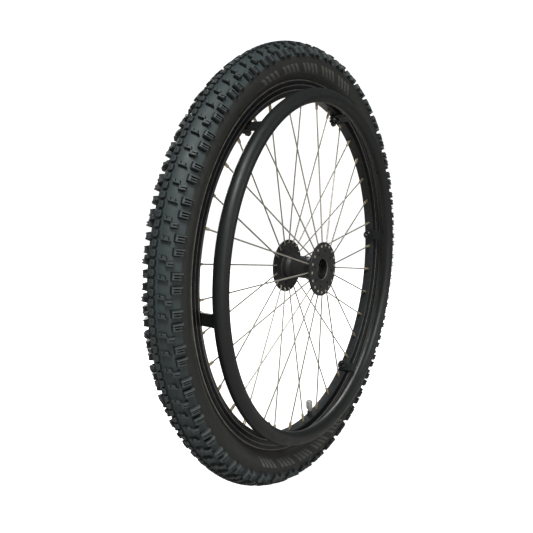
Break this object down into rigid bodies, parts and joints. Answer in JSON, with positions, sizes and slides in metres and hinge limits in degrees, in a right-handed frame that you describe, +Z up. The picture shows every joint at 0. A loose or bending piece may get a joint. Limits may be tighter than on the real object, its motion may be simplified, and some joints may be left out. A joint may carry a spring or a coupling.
{
  "type": "spoked wheelchair drive wheel",
  "caption": "Spoked off-road drive wheel for a wheelchair: knobbly tyre on a black double-wall rim, radial spokes, high-flange hub on ball bearings, and a black handrim on welded brackets.",
  "frame": {"origin": "on the axle's centre line, in the middle plane of the rim", "axes": "+Y along the axle towards the chair (inboard), -Y is the handrim's side, +Z up"},
  "size_m": [0.618, 0.0749, 0.618],
  "materials": {
    "tyre_rubber": "matt moulded tread rubber, charcoal with a faint blue-green tint",
    "tube_rubber": "thin butyl",
    "tape_cloth": "woven cloth tape",
    "rim_black": "satin black anodised",
    "handrim_black": "satin black powder coat on aluminium tube",
    "hub_black": "satin black anodised",
    "spoke_steel": "drawn stainless wire, slightly warm",
    "nipple_brass": "nickel-plated brass, worn warm",
    "bolt_black": "black zinc",
    "bearing_steel": "ground bearing steel",
    "seal_rubber": "matt nitrile",
    "valve_brass": "nickel-plated brass with a black rubber jacket",
    "cap_plastic": "clear grey moulded plastic"
  },
  "bodies": {
    "axle_side": {"outboard_bearing_inner_race": "bearing_steel", "inboard_bearing_inner_race": "bearing_steel", "bearing_spacer": "bearing_steel"},
    "wheel": {"tyre": "tyre_rubber", "inner_tube": "tube_rubber", "rim_tape": "tape_cloth", "rim": "rim_black", "handrim": "handrim_black", "hub_shell": "hub_black", "valve_stem": "valve_brass", "valve_core": "valve_brass", "outboard_bearing_outer_race": "bearing_steel", "outboard_bearing_seal": "seal_rubber", "inboard_bearing_outer_race": "bearing_steel", "inboard_bearing_seal": "seal_rubber", "handrim_bolt_1": "bolt_black", "handrim_bolt_2": "bolt_black", "handrim_bolt_3": "bolt_black", "handrim_bolt_4": "bolt_black", "handrim_bolt_5": "bolt_black", "handrim_bolt_6": "bolt_black", "spoke_01": "spoke_steel", "spoke_02": "spoke_steel", "spoke_03": "spoke_steel", "spoke_04": "spoke_steel", "spoke_05": "spoke_steel", "spoke_06": "spoke_steel", "spoke_07": "spoke_steel", "spoke_08": "spoke_steel", "spoke_09": "spoke_steel", "spoke_10": "spoke_steel", "spoke_11": "spoke_steel", "spoke_12": "spoke_steel", "spoke_13": "spoke_steel", "spoke_14": "spoke_steel", "spoke_15": "spoke_steel", "spoke_16": "spoke_steel", "spoke_17": "spoke_steel", "spoke_18": "spoke_steel", "spoke_19": "spoke_steel", "spoke_20": "spoke_steel", "spoke_21": "spoke_steel", "spoke_22": "spoke_steel", "spoke_23": "spoke_steel", "spoke_24": "spoke_steel", "spoke_25": "spoke_steel", "spoke_26": "spoke_steel", "spoke_27": "spoke_steel", "spoke_28": "spoke_steel", "spoke_29": "spoke_steel", "spoke_30": "spoke_steel", "spoke_31": "spoke_steel", "spoke_32": "spoke_steel", "spoke_33": "spoke_steel", "spoke_34": "spoke_steel", "spoke_35": "spoke_steel", "spoke_36": "spoke_steel"},
    "bearing_balls": {"outboard_bearing_balls": "bearing_steel", "inboard_bearing_balls": "bearing_steel"},
    "valve_cap": {"valve_cap": "cap_plastic"}
  },
  "joints": [
    {"name": "wheel_spin", "type": "hinge", "parent": "axle_side", "child": "wheel", "pos_m": [0, 0, 0], "axis": [0, 1, 0], "continuous": true},
    {"name": "ball_orbit", "type": "hinge", "parent": "axle_side", "child": "bearing_balls", "pos_m": [0, 0, 0], "axis": [0, 1, 0], "continuous": true},
    {"name": "valve_cap_off", "type": "slide", "parent": "wheel", "child": "valve_cap", "axis": [-0.1736, 0, 0.9848], "range_m": [0, 0.014]}
  ],
  "couplings": [
    {"joint": "ball_orbit", "follows": "wheel_spin", "ratio": 0.5962}
  ]
}
